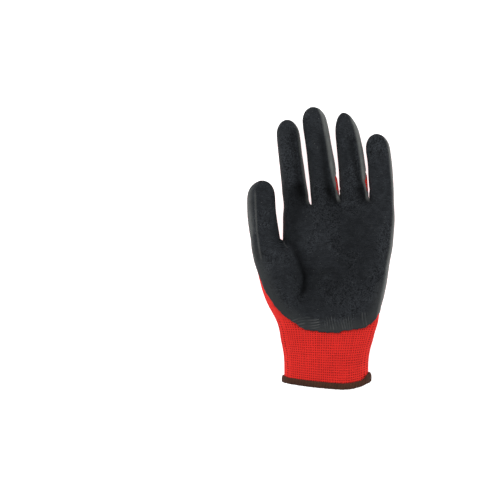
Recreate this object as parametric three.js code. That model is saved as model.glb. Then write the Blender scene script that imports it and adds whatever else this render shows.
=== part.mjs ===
// A left-hand palm-dipped work glove, lying on its back with the palm up: a seamless knitted
// shell, an elastic knitted wrist, an overlocked hem and a latex skin over the palm side.
// +X runs from the thumb to the little finger, +Y to the fingertips and +Z up out of the palm.
import * as THREE from "three";

// Driving dimensions, in millimetres. Widths and thicknesses are over the latex.
const PALM_LENGTH = 114.5; // wrist line to the crotch between middle and ring finger
const PALM_WIDTH = 96; // across the knuckles, without the thumb
const PALM_THICKNESS = 26; // in the hollow of the palm
const THUMB_LENGTH = 53; // crotch to tip, as the other digit lengths
const INDEX_LENGTH = 70.5;
const MIDDLE_LENGTH = 79;
const RING_LENGTH = 72.5;
const LITTLE_LENGTH = 56.5;
const DIGIT_WIDTH = 22; // a finger at its root
const DIGIT_THICKNESS = 18.5;
const THUMB_RISE = 8; // back of the thumb above the back of the hand
const CUFF_LENGTH = 45;
const CUFF_WIDTH = 71.5; // over the knit, as is its thickness
const CUFF_THICKNESS = 30;
const KNIT_WALL = 1.2;
const LATEX_WALL = 1;
const PIECE_GAP = 0.3; // between neighbouring pieces
const HEM_HEIGHT = 6;
const HEM_WALL = 2;
const DIP_LEVEL = 7; // height that the latex reaches on the sides of the digits

const KNIT_DEPTH = LATEX_WALL + PIECE_GAP; // outer face of the knit below the outermost skin
const LINING_DEPTH = KNIT_DEPTH + KNIT_WALL;

const BLACK_LATEX = { color: 0x25282a, roughness: 0.75, metalness: 0 };
const RED_KNIT = { color: 0xd62a24, roughness: 0.9, metalness: 0 };
const BROWN_YARN = { color: 0x4a2c1c, roughness: 0.9, metalness: 0 };

// The hand from the wrist line up to the thumb's crotch. along is a share of PALM_LENGTH, left and
// right of PALM_WIDTH, and the heights of PALM_THICKNESS: the hollow's top, then the ball of the
// thumb, the crease beside it and the heel of the palm over that, and the lift of the thumb's
// back. round is the exponent of the section, 2 for an ellipse and more for a flatter palm.
const HEEL_ROWS = [
  { along: 0.0, left: -0.424, right: 0.443, top: 1.17, ball: 0.0, crease: 0.0, creaseAt: 0.3, heel: 0.0, lift: 0.0, round: 2.4 },
  { along: 0.07, left: -0.446, right: 0.469, top: 1.15, ball: 0.03, crease: 0.0, creaseAt: 0.3, heel: 0.02, lift: 0.0, round: 2.6 },
  { along: 0.14, left: -0.485, right: 0.483, top: 1.11, ball: 0.08, crease: 0.02, creaseAt: 0.3, heel: 0.05, lift: 0.0, round: 2.9 },
  { along: 0.21, left: -0.53, right: 0.501, top: 1.06, ball: 0.15, crease: 0.06, creaseAt: 0.31, heel: 0.09, lift: 0.0, round: 3.2 },
  { along: 0.29, left: -0.57, right: 0.519, top: 1.02, ball: 0.21, crease: 0.1, creaseAt: 0.35, heel: 0.12, lift: 0.0, round: 3.4 },
  { along: 0.38, left: -0.602, right: 0.537, top: 0.99, ball: 0.25, crease: 0.12, creaseAt: 0.37, heel: 0.13, lift: 0.03, round: 3.6 },
  { along: 0.47, left: -0.624, right: 0.554, top: 0.97, ball: 0.24, crease: 0.12, creaseAt: 0.36, heel: 0.12, lift: 0.1, round: 3.8 },
  { along: 0.56, left: -0.643, right: 0.572, top: 0.97, ball: 0.2, crease: 0.09, creaseAt: 0.32, heel: 0.1, lift: 0.2, round: 4.0 },
];
// The four-finger palm, from the thumb's crotch up to the finger crotches.
const KNUCKLE_ROWS = [
  { along: 0.635, left: -0.382, right: 0.587, top: 0.96, ball: 0.06, crease: 0.03, creaseAt: 0.1, heel: 0.08, lift: 0.0, round: 4.0 },
  { along: 0.71, left: -0.385, right: 0.597, top: 0.95, ball: 0.0, crease: 0.0, creaseAt: 0.1, heel: 0.05, lift: 0.0, round: 4.0 },
  { along: 0.79, left: -0.384, right: 0.606, top: 0.91, ball: 0.0, crease: 0.0, creaseAt: 0.1, heel: 0.03, lift: 0.0, round: 4.0 },
  { along: 0.87, left: -0.384, right: 0.611, top: 0.84, ball: 0.0, crease: 0.0, creaseAt: 0.1, heel: 0.0, lift: 0.0, round: 4.0 },
];
// The wrist below the wrist line. along is a share of CUFF_LENGTH and taper is 0 for the hand's
// width and thickness at the wrist line and 1 for the cuff's. lift raises the back over the hem.
const CUFF_ROWS = [
  { along: 0.13, taper: 0.2, lift: 0.0, round: 2.4 },
  { along: 0.33, taper: 0.55, lift: 0.0, round: 2.4 },
  { along: 0.56, taper: 0.85, lift: 0.4, round: 2.4 },
  { along: 0.8, taper: 1.0, lift: 0.9, round: 2.4 },
  { along: 1.0, taper: 1.0, lift: 1.0, round: 2.4 },
];
// Each digit from its crotch to its tip. rootX and tipX are shares of PALM_WIDTH, root of
// PALM_LENGTH and widths of DIGIT_WIDTH. bow is the sideways bend at the middle, a share of the
// width, point the length of the rounded tip over the width, and rise the lift of the tip's back
// over the thickness. roll turns the palm face towards the thumb, in degrees.
const THUMB = {
  length: THUMB_LENGTH, rootX: -0.53, tipX: -0.571, root: 0.666, rootWidth: 1.1,
  width: 1.08, bow: -0.08, point: 0.62, rise: 0.3, roll: -20, lift: THUMB_RISE,
};
const FINGERS = [
  { // index
    length: INDEX_LENGTH, rootX: -0.265, tipX: -0.35, root: 0.967, rootWidth: 1.0,
    width: 0.93, bow: -0.01, point: 0.7, rise: 0.4, roll: 4, lift: 0,
  },
  { // middle
    length: MIDDLE_LENGTH, rootX: -0.018, tipX: -0.127, root: 0.985, rootWidth: 1.06,
    width: 0.95, bow: 0.05, point: 0.68, rise: 0.5, roll: 14, lift: 0,
  },
  { // ring
    length: RING_LENGTH, rootX: 0.24, tipX: 0.15, root: 1.0, rootWidth: 1.08,
    width: 1.0, bow: 0.08, point: 1.25, rise: 0.5, roll: 14, lift: 0,
  },
  { // little
    length: LITTLE_LENGTH, rootX: 0.494, tipX: 0.438, root: 0.985, rootWidth: 0.97,
    width: 0.94, bow: 0.06, point: 0.66, rise: 0.35, roll: 5, lift: 0,
  },
];
// Heights of the crotches along the palm, between neighbouring fingers.
const CROTCHES = [0.967, 1.0, 1.0];
const WEB_SLOPE = 4; // a web's front edge lies this far below its crotch

const BODY_STATIONS = [0.08, 0.2, 0.34, 0.5, 0.66, 0.83, 1]; // rings up to the rounded tip
const TIP_ANGLES = [26, 48, 66, 80]; // rings round the tip, in degrees
const DIGIT_ROUND = 2.5;
const FRONT_ANGLES = [130, 103, 77, 50]; // corners of a twelve-sided digit, front then side
const SIDE_ANGLE = 17;
const SHOULDER_INSET = 0.36; // first front corner of a palm section in from its side, by height
const SIDE_INSET = 0.04;
const SIDE_HEIGHT = 0.29;
const DIGIT_COLUMNS = 3; // faces across the front of a digit
const WEB_COLUMN = 0.3; // width of a web's column over a digit's
const BACK_OVERSHOOT = 1.5; // the round back runs this far into the surface and is laid flat

// The wavy hem line: lowest at a share of CUFF_WIDTH off the middle, rising to each side.
const HEM_LOW_X = 0.2;
const HEM_RISES = { left: 5, right: 4.5, leftPower: 1.3, rightPower: 2 };

// Lower edge of the latex seen from the palm, as shares of PALM_WIDTH and PALM_LENGTH.
const DIP_EDGE = [
  { x: -0.66, along: 0.59 },
  { x: -0.622, along: 0.52 },
  { x: -0.587, along: 0.43 },
  { x: -0.545, along: 0.34 },
  { x: -0.5, along: 0.265 },
  { x: -0.42, along: 0.175 },
  { x: -0.31, along: 0.085 },
  { x: -0.2, along: 0.035 },
  { x: -0.05, along: 0.012 },
  { x: 0.09, along: 0.012 },
  { x: 0.22, along: 0.03 },
  { x: 0.34, along: 0.06 },
  { x: 0.42, along: 0.115 },
  { x: 0.475, along: 0.185 },
  { x: 0.52, along: 0.27 },
  { x: 0.6, along: 0.4 },
];
// Height of the latex edge, over DIP_LEVEL, on the thumb and on the two sides of the palm and
// fingers, from the wrist to the tips.
const DIP_HEIGHTS = [
  { along: -0.1, thumb: 1.6, left: 1.6, right: 1.2 },
  { along: 0.3, thumb: 1.6, left: 1.6, right: 1.2 },
  { along: 0.5, thumb: 1.8, left: 1.6, right: 1.15 },
  { along: 0.66, thumb: 2.25, left: 1.4, right: 1.05 },
  { along: 0.85, thumb: 2.15, left: 1.1, right: 1.0 },
  { along: 1.05, thumb: 2.0, left: 1.0, right: 1.0 },
  { along: 2.0, thumb: 0.8, left: 0.75, right: 0.75 },
];
const DIP_STEP = { thumb: -0.45, left: -0.37 }; // the thumb's height runs into the palm's between these
// The latex stops short low on the side of a finger beside its crotch, so the knit shows there:
// share of DIGIT_WIDTH in from the side and along the finger, and of DIP_LEVEL up.
const BARE_SIDE = { fingers: [1, 2], across: 0.11, up: 2, along: 0.52, start: 0.1 };

const lerp = THREE.MathUtils.lerp;
const radians = THREE.MathUtils.degToRad;

// The whole outer skin as points and four-sided faces. Each face is of the wrist or of the hand.
const points = [];
const faces = [];

function addPoint(x, y, z) {
  points.push(new THREE.Vector3(x, y, z));
  return points.length - 1;
}

// A section is a closed loop: its front row from left to right, two corners down the right side,
// its back row, also kept from left to right, and two corners on the left side.
function loopOf(section) {
  return [...section.front, ...section.right, ...section.back.toReversed(), ...section.left.toReversed()];
}

function join(lower, upper, part) {
  const a = loopOf(lower);
  const b = loopOf(upper);
  a.forEach((point, i) => {
    const next = (i + 1) % a.length;
    faces.push({ part, corners: [point, a[next], b[next], b[i]] });
  });
}

// Columns across the front of a palm section: three for each digit and a narrow one for each web.
function columnShares(digits) {
  const widths = [];
  for (let digit = 0; digit < digits; digit++) {
    if (digit > 0) widths.push(WEB_COLUMN);
    for (let column = 0; column < DIGIT_COLUMNS; column++) widths.push(1);
  }
  const total = widths.reduce((sum, width) => sum + width, 0);
  let sum = 0;
  return [0, ...widths.map((width) => (sum += width) / total)];
}

// A smooth bump of height 1 at centre that dies away over reach, across the shares of a row.
function bump(share, centre, reach) {
  const distance = Math.min(1, Math.abs(share - centre) / reach);
  return 0.5 + 0.5 * Math.cos(Math.PI * distance);
}

// One section of the palm or wrist: a flat-backed rounded outline between left and right, with
// relief(share) added to its front and lift(share) to its back.
function palmSection({ digits, y, left, right, bottom, top, round, relief, lift }) {
  const halfHeight = (top - bottom) / 2;
  const middle = bottom + halfHeight;
  const inset = SHOULDER_INSET * halfHeight;
  const centre = (left + right) / 2;
  const halfWidth = (right - left) / 2;
  const section = { front: [], right: [], back: [], left: [] };
  for (const share of columnShares(digits)) {
    const x = lerp(left + inset, right - inset, share);
    const u = Math.abs(x - centre) / halfWidth;
    const arch = Math.pow(1 - Math.pow(u, round), 1 / round);
    const raised = lift(share);
    const yHere = y(x);
    section.front.push(addPoint(x, yHere, middle + halfHeight * arch + relief(share)));
    const back = middle - (halfHeight + BACK_OVERSHOOT) * arch;
    section.back.push(addPoint(x, yHere, Math.max(bottom, back) + raised));
  }
  for (const side of [1, -1]) {
    const height = middle + side * SIDE_HEIGHT * halfHeight;
    section.right.push(addPoint(right - SIDE_INSET * halfHeight, y(right), height + lift(1)));
    section.left.push(addPoint(left + SIDE_INSET * halfHeight, y(left), height + lift(0)));
  }
  return section;
}

// A palm section from a row of a table. Its front has the ball of the thumb, the crease beside
// it and the heel of the palm.
function rowSection(row, digits) {
  return palmSection({
    digits,
    y: () => row.along * PALM_LENGTH,
    left: row.left * PALM_WIDTH,
    right: row.right * PALM_WIDTH,
    bottom: -KNIT_DEPTH,
    top: row.top * PALM_THICKNESS,
    round: row.round,
    relief: (share) =>
      PALM_THICKNESS *
      (row.ball * bump(share, 0.14, 0.24) - row.crease * bump(share, row.creaseAt, 0.12) + row.heel * bump(share, 0.88, 0.26)),
    lift: (share) => PALM_THICKNESS * row.lift * bump(share, 0, 0.32),
  });
}

// Height of the hem line over its lowest point, and the length of the wrist above it.
function hemWave(x) {
  const low = HEM_LOW_X * CUFF_WIDTH;
  const left = -0.5 * CUFF_WIDTH;
  const right = 0.5 * CUFF_WIDTH;
  if (x < low) return HEM_RISES.left * Math.pow((low - x) / (low - left), HEM_RISES.leftPower);
  return HEM_RISES.right * Math.pow((x - low) / (right - low), HEM_RISES.rightPower);
}

function cuffSection(row) {
  const wrist = HEEL_ROWS[0];
  return palmSection({
    digits: 5,
    y: (x) => -row.along * (CUFF_LENGTH - hemWave(x)),
    left: lerp(wrist.left * PALM_WIDTH, -CUFF_WIDTH / 2 - KNIT_DEPTH, row.taper),
    right: lerp(wrist.right * PALM_WIDTH, CUFF_WIDTH / 2 + KNIT_DEPTH, row.taper),
    bottom: lerp(0, PIECE_GAP + HEM_WALL, row.lift) - KNIT_DEPTH,
    top: lerp(wrist.top * PALM_THICKNESS, CUFF_THICKNESS + KNIT_DEPTH, row.taper),
    round: row.round,
    relief: () => 0,
    lift: () => 0,
  });
}

// Centre, axes and half sizes of a digit at a distance along it. Past its body the rounded tip
// closes as an ellipse.
function digitStation(digit, distance) {
  const width = digit.width * DIGIT_WIDTH;
  const tipLength = digit.point * width;
  const body = digit.length - tipLength;
  const share = Math.min(1, distance / body);
  const beyond = Math.max(0, distance - body) / tipLength;
  const closing = Math.sqrt(Math.max(0, 1 - beyond * beyond));
  const root = new THREE.Vector3(digit.rootX * PALM_WIDTH, digit.root * PALM_LENGTH, 0);
  const tip = new THREE.Vector3(digit.tipX * PALM_WIDTH, root.y + digit.length, 0);
  const t = distance / digit.length;
  const thickness = DIGIT_THICKNESS * lerp(1.08, 0.84, share) * (digit.lift ? 1.18 : 1);
  const centre = root.clone().lerp(tip, t);
  centre.x += digit.bow * width * Math.sin(Math.PI * Math.min(1, t));
  centre.z = digit.lift - KNIT_DEPTH + digit.rise * DIGIT_THICKNESS * t * t + thickness / 2;
  const forward = tip.clone().sub(root).normalize();
  const right = forward.clone().cross(new THREE.Vector3(0, 0, 1)).normalize();
  const up = right.clone().cross(forward);
  const roll = radians(digit.roll) * THREE.MathUtils.smoothstep(share, 0, 0.4);
  return {
    centre,
    right: right.clone().multiplyScalar(Math.cos(roll)).addScaledVector(up, Math.sin(roll)),
    up: up.clone().multiplyScalar(Math.cos(roll)).addScaledVector(right, -Math.sin(roll)),
    halfWidth: (lerp(digit.rootWidth * DIGIT_WIDTH, width, share) / 2) * closing,
    halfHeight: (thickness / 2) * Math.pow(closing, 0.8),
  };
}

// A corner of a digit's section at an angle, 0 on the right and 90 on the palm face.
function digitPoint(station, angle) {
  const c = Math.cos(radians(angle));
  const s = Math.sin(radians(angle));
  const across = Math.sign(c) * Math.pow(Math.abs(c), 2 / DIGIT_ROUND) * station.halfWidth;
  const height = Math.sign(s) * Math.pow(Math.abs(s), 2 / DIGIT_ROUND) * station.halfHeight;
  return station.centre.clone().addScaledVector(station.right, across).addScaledVector(station.up, height);
}

// A digit's section. shift(corner) moves each corner along the digit, which slopes a root's web.
function digitSection(station, shift = () => 0) {
  const at = (angle, corner) => {
    const p = digitPoint(station, angle);
    return addPoint(p.x, p.y + shift(corner), p.z);
  };
  return {
    front: FRONT_ANGLES.map((angle) => at(angle, "front")),
    right: [at(SIDE_ANGLE, "right"), at(-SIDE_ANGLE, "right")],
    back: FRONT_ANGLES.map((angle) => at(-angle, "back")),
    left: [at(180 - SIDE_ANGLE, "left"), at(SIDE_ANGLE - 180, "left")],
  };
}

// A root section: its front and back lie below the crotch, its sides at the crotches beside it.
function rootSection(digit, leftCrotch, rightCrotch) {
  const slopes = {
    front: -WEB_SLOPE,
    back: -WEB_SLOPE,
    left: (leftCrotch - digit.root) * PALM_LENGTH,
    right: (rightCrotch - digit.root) * PALM_LENGTH,
  };
  return digitSection(digitStation(digit, 0), (corner) => slopes[corner]);
}

// The rings of a digit from its root, and the nine faces that close its tip.
function addDigit(digit, root) {
  const tipLength = digit.point * digit.width * DIGIT_WIDTH;
  const body = digit.length - tipLength;
  const distances = [
    ...BODY_STATIONS.map((share) => share * body),
    ...TIP_ANGLES.map((angle) => body + tipLength * Math.sin(radians(angle))),
  ];
  let last = root;
  for (const distance of distances) {
    const next = digitSection(digitStation(digit, distance));
    join(last, next, "hand");
    last = next;
  }
  const middle = (upper, lower, share) => {
    const p = points[upper].clone().lerp(points[lower], share);
    p.y = Math.max(p.y, digit.root * PALM_LENGTH + digit.length);
    return addPoint(p.x, p.y, p.z);
  };
  const grid = [
    last.front,
    [last.left[0], middle(last.front[1], last.back[1], 1 / 3), middle(last.front[2], last.back[2], 1 / 3), last.right[0]],
    [last.left[1], middle(last.front[1], last.back[1], 2 / 3), middle(last.front[2], last.back[2], 2 / 3), last.right[1]],
    last.back,
  ];
  for (let row = 0; row < 3; row++) {
    for (let column = 0; column < 3; column++) {
      const corners = [grid[row][column], grid[row][column + 1], grid[row + 1][column + 1], grid[row + 1][column]];
      faces.push({ part: "hand", corners });
    }
  }
}

// The web in a crotch: three faces between the right side of one section and the left of the next.
function addWeb(a, b) {
  const left = [a.front.at(-1), ...a.right, a.back.at(-1)];
  const right = [b.front[0], ...b.left, b.back[0]];
  for (let i = 0; i < 3; i++) {
    faces.push({ part: "hand", corners: [left[i], right[i], right[i + 1], left[i + 1]] });
  }
}

// The section that several neighbouring ones make together.
function together(sections) {
  return {
    front: sections.flatMap((section) => section.front),
    right: sections.at(-1).right,
    back: sections.flatMap((section) => section.back),
    left: sections[0].left,
  };
}

function buildSkin() {
  const wrist = CUFF_ROWS.toReversed().map(cuffSection);
  const heel = HEEL_ROWS.map((row) => rowSection(row, 5));
  const tube = [...wrist, ...heel];
  for (let i = 1; i < tube.length; i++) {
    join(tube[i - 1], tube[i], i <= wrist.length ? "wrist" : "hand");
  }
  const thumbCrotch = THUMB.root;
  const thumbRoot = rootSection(THUMB, THUMB.root - 0.03, thumbCrotch);
  const knuckles = KNUCKLE_ROWS.map((row) => rowSection(row, 4));
  for (const side of knuckles[0].left) points[side].y = thumbCrotch * PALM_LENGTH;
  join(heel.at(-1), together([thumbRoot, knuckles[0]]), "hand");
  addWeb(thumbRoot, knuckles[0]);
  addDigit(THUMB, thumbRoot);
  for (let i = 1; i < knuckles.length; i++) join(knuckles[i - 1], knuckles[i], "hand");
  const outer = FINGERS.map((digit) => digit.root - 0.02);
  const roots = FINGERS.map((digit, i) => rootSection(digit, CROTCHES[i - 1] ?? outer[i], CROTCHES[i] ?? outer[i]));
  join(knuckles.at(-1), together(roots), "hand");
  roots.forEach((root, i) => {
    if (i > 0) addWeb(roots[i - 1], root);
    addDigit(FINGERS[i], root);
  });
  return { wristRing: loopOf(heel[0]), hemRing: loopOf(wrist[0]) };
}

// Outward directions at the points, long enough that a moved face keeps its distance.
function outwardDirections() {
  const sums = points.map(() => new THREE.Vector3());
  const normals = faces.map(({ corners }) => {
    const [a, b, c, d] = corners.map((corner) => points[corner]);
    return c.clone().sub(a).cross(d.clone().sub(b)).normalize();
  });
  faces.forEach(({ corners }, i) => corners.forEach((corner) => sums[corner].add(normals[i])));
  const lengths = points.map(() => ({ sum: 0, count: 0 }));
  sums.forEach((sum) => sum.normalize());
  faces.forEach(({ corners }, i) => {
    for (const corner of corners) {
      lengths[corner].sum += sums[corner].dot(normals[i]);
      lengths[corner].count += 1;
    }
  });
  return sums.map((sum, i) => sum.multiplyScalar(1 / Math.max(0.6, lengths[i].sum / lengths[i].count)));
}

const { wristRing, hemRing } = buildSkin();
const outward = outwardDirections();
const wristPoints = new Set(wristRing);
const hemPoints = new Set(hemRing);

// A point of the skin at a depth below it. The back is flat where the glove rests, and the two
// rims of a piece stay in their own planes, half a gap away from the neighbour.
function pointAtDepth(index, depth, part) {
  const p = points[index].clone().addScaledVector(outward[index], -depth);
  p.z = Math.max(p.z, depth - KNIT_DEPTH);
  if (wristPoints.has(index)) p.y = (part === "hand" ? 0.5 : -0.5) * PIECE_GAP;
  if (hemPoints.has(index)) p.y = points[index].y;
  return p;
}

// The wall between two depths of one part of the skin, closed round its open rims. With a level
// for every point, only the side where it is positive is kept.
function wallGeometry(part, outerDepth, innerDepth, level = () => 1) {
  const position = [];
  const index = [];
  const numbers = new Map();
  // A vertex is a place between two points of the skin, at one of the two depths.
  const vertex = ({ a, b, t }, depth) => {
    const key = `${a} ${b} ${depth}`;
    if (!numbers.has(key)) {
      numbers.set(key, numbers.size);
      position.push(...pointAtDepth(a, depth, part).lerp(pointAtDepth(b, depth, part), t).toArray());
    }
    return numbers.get(key);
  };
  const crossing = (a, b) => {
    const [low, high] = a < b ? [a, b] : [b, a];
    const t = level(low) / (level(low) - level(high));
    return { a: low, b: high, t: THREE.MathUtils.clamp(t, 0.04, 0.96) };
  };
  const edges = new Map();
  for (const { corners } of faces.filter((face) => face.part === part)) {
    const [a, b, c, d] = corners;
    for (const triangle of [[a, b, c], [a, c, d]]) {
      const kept = [];
      triangle.forEach((point, i) => {
        const next = triangle[(i + 1) % 3];
        if (level(point) > 0) kept.push({ a: point, b: point, t: 0 });
        if (level(point) > 0 !== level(next) > 0) kept.push(crossing(point, next));
      });
      for (let i = 2; i < kept.length; i++) {
        const three = [kept[0], kept[i - 1], kept[i]];
        index.push(...three.map((place) => vertex(place, outerDepth)));
        index.push(...three.toReversed().map((place) => vertex(place, innerDepth)));
      }
      kept.forEach((from, i) => {
        const to = kept[(i + 1) % kept.length];
        edges.set(`${from.a} ${from.b} ${to.a} ${to.b}`, [from, to]);
      });
    }
  }
  for (const [from, to] of edges.values()) {
    if (edges.has(`${to.a} ${to.b} ${from.a} ${from.b}`)) continue;
    const [a, b, c, d] = [vertex(to, outerDepth), vertex(from, outerDepth), vertex(from, innerDepth), vertex(to, innerDepth)];
    index.push(a, b, c, a, c, d);
  }
  const geometry = new THREE.BufferGeometry();
  geometry.setAttribute("position", new THREE.Float32BufferAttribute(position, 3));
  geometry.setIndex(index);
  return geometry;
}

// The overlocked hem: a channel round the cuff's raw edge, carried along the hem ring.
function hemGeometry() {
  const outer = PIECE_GAP + HEM_WALL;
  const inner = -KNIT_WALL - PIECE_GAP - HEM_WALL;
  const corner = 0.35 * HEM_WALL;
  const under = -PIECE_GAP - HEM_WALL;
  const top = HEM_HEIGHT + under;
  const profile = [
    [PIECE_GAP, top],
    [outer - corner, top],
    [outer, top - 2 * corner],
    [outer, under + 2 * corner],
    [outer - corner, under],
    [inner + corner, under],
    [inner, under + 2 * corner],
    [inner, top - 2 * corner],
    [inner + corner, top],
    [-KNIT_WALL - PIECE_GAP, top],
    [-KNIT_WALL - PIECE_GAP, -PIECE_GAP],
    [PIECE_GAP, -PIECE_GAP],
  ];
  const position = [];
  const index = [];
  const count = profile.length;
  hemRing.forEach((point, i) => {
    const edge = pointAtDepth(point, KNIT_DEPTH, "wrist");
    const before = pointAtDepth(hemRing.at(i - 1), KNIT_DEPTH, "wrist");
    const after = pointAtDepth(hemRing[(i + 1) % hemRing.length], KNIT_DEPTH, "wrist");
    const out = new THREE.Vector3(after.z - before.z, 0, before.x - after.x).normalize().negate();
    for (const [distance, height] of profile) {
      position.push(edge.x + out.x * distance, edge.y + height, edge.z + out.z * distance);
    }
    const next = (i + 1) % hemRing.length;
    for (let j = 0; j < count; j++) {
      const k = (j + 1) % count;
      const [a, b, c, d] = [i * count + j, i * count + k, next * count + k, next * count + j];
      index.push(a, b, c, a, c, d);
    }
  });
  const geometry = new THREE.BufferGeometry();
  geometry.setAttribute("position", new THREE.Float32BufferAttribute(position, 3));
  geometry.setIndex(index);
  return geometry;
}

// A column of a table at a value of its first column, straight between the rows.
function tableValue(rows, key, at, column) {
  const next = rows.findIndex((row) => row[key] > at);
  if (next === 0) return rows[0][column];
  if (next < 0) return rows.at(-1)[column];
  const [low, high] = [rows[next - 1], rows[next]];
  return lerp(low[column], high[column], (at - low[key]) / (high[key] - low[key]));
}

// How far a point of the skin is on the latex side of the nearest latex edge.
function latexLevel({ x, y, z }) {
  const across = x / PALM_WIDTH;
  const along = y / PALM_LENGTH;
  const aboveEdge = (along - tableValue(DIP_EDGE, "x", across, "along")) * PALM_LENGTH;
  const [thumb, left, right] = ["thumb", "left", "right"].map((side) => tableValue(DIP_HEIGHTS, "along", along, side));
  const palm = lerp(left, right, THREE.MathUtils.clamp(across - DIP_STEP.left, 0, 1));
  const height = lerp(thumb, palm, THREE.MathUtils.smoothstep(across, DIP_STEP.thumb, DIP_STEP.left));
  const clearOfBareSides = BARE_SIDE.fingers.map((number) => {
    const { across, up, along, start } = BARE_SIDE;
    const side = digitPoint(digitStation(FINGERS[number], (start + along) * DIGIT_WIDTH), 0);
    const away = new THREE.Vector3((x - side.x) / across, (y - side.y) / along, (z * DIGIT_WIDTH) / DIP_LEVEL / up);
    return (away.length() - DIGIT_WIDTH) * across;
  });
  return Math.min(aboveEdge, z - height * DIP_LEVEL, ...clearOfBareSides);
}

const levels = points.map(latexLevel);

const glove = new THREE.Group();

function addPiece(name, geometry, finish) {
  const mesh = new THREE.Mesh(geometry, new THREE.MeshStandardMaterial(finish));
  mesh.name = name;
  glove.add(mesh);
}

addPiece("knit_shell", wallGeometry("hand", KNIT_DEPTH, LINING_DEPTH), RED_KNIT);
addPiece("knit_wrist", wallGeometry("wrist", KNIT_DEPTH, LINING_DEPTH), RED_KNIT);
addPiece("hem_overlock", hemGeometry(), BROWN_YARN);
addPiece("latex_palm", wallGeometry("hand", 0, LATEX_WALL, (point) => levels[point]), BLACK_LATEX);

// The origin is under the middle of the glove's outline, on the surface that it lies on.
const bounds = new THREE.Box3().setFromObject(glove);
const middle = bounds.getCenter(new THREE.Vector3());
glove.position.set(-middle.x, -middle.y, -bounds.min.z);

export default glove;
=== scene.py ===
# %% [markdown]
# # A latex coated grip glove
# The glove is knitted as one seamless shell on a machine, its palm side is dipped in latex that
# crinkles as it cures, and the raw edge of its elastic wrist is bound with an overlock stitch.
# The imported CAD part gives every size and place. Here each of its four pieces gets a smooth
# surface and a finish, in the same frame: +X to the little finger, +Y to the fingertips, +Z up.

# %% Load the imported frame
import math

import bmesh
import bpy
from mathutils import Matrix, Vector, noise


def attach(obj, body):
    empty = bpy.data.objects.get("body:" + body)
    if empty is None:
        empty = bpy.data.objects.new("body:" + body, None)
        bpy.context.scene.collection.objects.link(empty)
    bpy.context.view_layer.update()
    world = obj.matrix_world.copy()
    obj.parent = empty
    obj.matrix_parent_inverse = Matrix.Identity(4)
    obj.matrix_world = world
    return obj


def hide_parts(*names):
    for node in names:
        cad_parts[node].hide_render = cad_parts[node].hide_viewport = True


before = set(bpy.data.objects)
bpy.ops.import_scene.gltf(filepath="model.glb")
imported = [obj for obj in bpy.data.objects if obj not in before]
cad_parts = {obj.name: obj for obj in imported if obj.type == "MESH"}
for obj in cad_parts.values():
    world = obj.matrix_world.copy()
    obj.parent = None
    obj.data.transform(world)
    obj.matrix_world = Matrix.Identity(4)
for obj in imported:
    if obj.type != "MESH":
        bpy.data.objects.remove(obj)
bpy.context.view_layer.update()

# %% [markdown]
# ## Camera
# The photograph looks square on to the palm of a glove that lies on its back. A long lens straight
# above the glove keeps the fingers parallel, and a small shift puts the glove right of the middle
# of the frame without tilting the view.

# %% Camera straight above the palm
PIXEL = 0.85  # millimetres of glove in one pixel of the 480-pixel photograph
LENS = 110.0
SENSOR = 36.0
camera_data = bpy.data.cameras.new("photo_camera")
camera_data.lens = LENS
camera_data.sensor_width = SENSOR
camera_data.clip_end = 20.0
view_width = 480 * PIXEL * 0.001
distance = view_width * LENS / SENSOR
camera = bpy.data.objects.new("photo_camera", camera_data)
camera.location = (0.0, 0.0, distance + 0.014)
camera_data.shift_x = -(321.0 - 240.0) / 480
camera_data.shift_y = (248.0 - 240.0) / 480
bpy.context.collection.objects.link(camera)
bpy.context.scene.camera = camera
print("camera height, m:", round(camera.location.z, 3))

# %% [markdown]
# ## Sizes
# The glove is described as its maker would: lengths and widths in millimetres, and short tables of
# sections from the hem to the finger roots. They are the CAD part's own values, so the smooth skin
# lies on its solids.

# %% Sizes of the glove, in millimetres
PALM_LENGTH = 114.5
PALM_WIDTH = 96.0
PALM_THICKNESS = 26.0
DIGIT_WIDTH = 22.0
DIGIT_THICKNESS = 18.5
THUMB_RISE = 8.0
CUFF_LENGTH = 45.0
CUFF_WIDTH = 71.5
CUFF_THICKNESS = 30.0
KNIT_WALL = 1.2
LATEX_WALL = 1.0
PIECE_GAP = 0.3
HEM_HEIGHT = 6.0
HEM_WALL = 2.0
DIP_LEVEL = 7.0
KNIT_DEPTH = LATEX_WALL + PIECE_GAP
CENTRING = Vector((4.45, -72.26, 0.0))  # from the wrist line to the middle of the glove's outline


def placed(point):
    """A drawing point in millimetres as a point of the scene in metres."""
    return (point + CENTRING) * 0.001


# %% Sections from the wrist line to the finger roots
# along, left, right, top, ball, crease, crease_at, heel, lift, round
HEEL_ROWS = [
    (0.0, -0.424, 0.443, 1.17, 0.0, 0.0, 0.3, 0.0, 0.0, 2.4),
    (0.07, -0.446, 0.469, 1.15, 0.03, 0.0, 0.3, 0.02, 0.0, 2.6),
    (0.14, -0.485, 0.483, 1.11, 0.08, 0.02, 0.3, 0.05, 0.0, 2.9),
    (0.21, -0.53, 0.501, 1.06, 0.15, 0.06, 0.31, 0.09, 0.0, 3.2),
    (0.29, -0.57, 0.519, 1.02, 0.21, 0.1, 0.35, 0.12, 0.0, 3.4),
    (0.38, -0.602, 0.537, 0.99, 0.25, 0.12, 0.37, 0.13, 0.03, 3.6),
    (0.47, -0.624, 0.554, 0.97, 0.24, 0.12, 0.36, 0.12, 0.1, 3.8),
    (0.56, -0.643, 0.572, 0.97, 0.2, 0.09, 0.32, 0.1, 0.2, 4.0),
]
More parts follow.
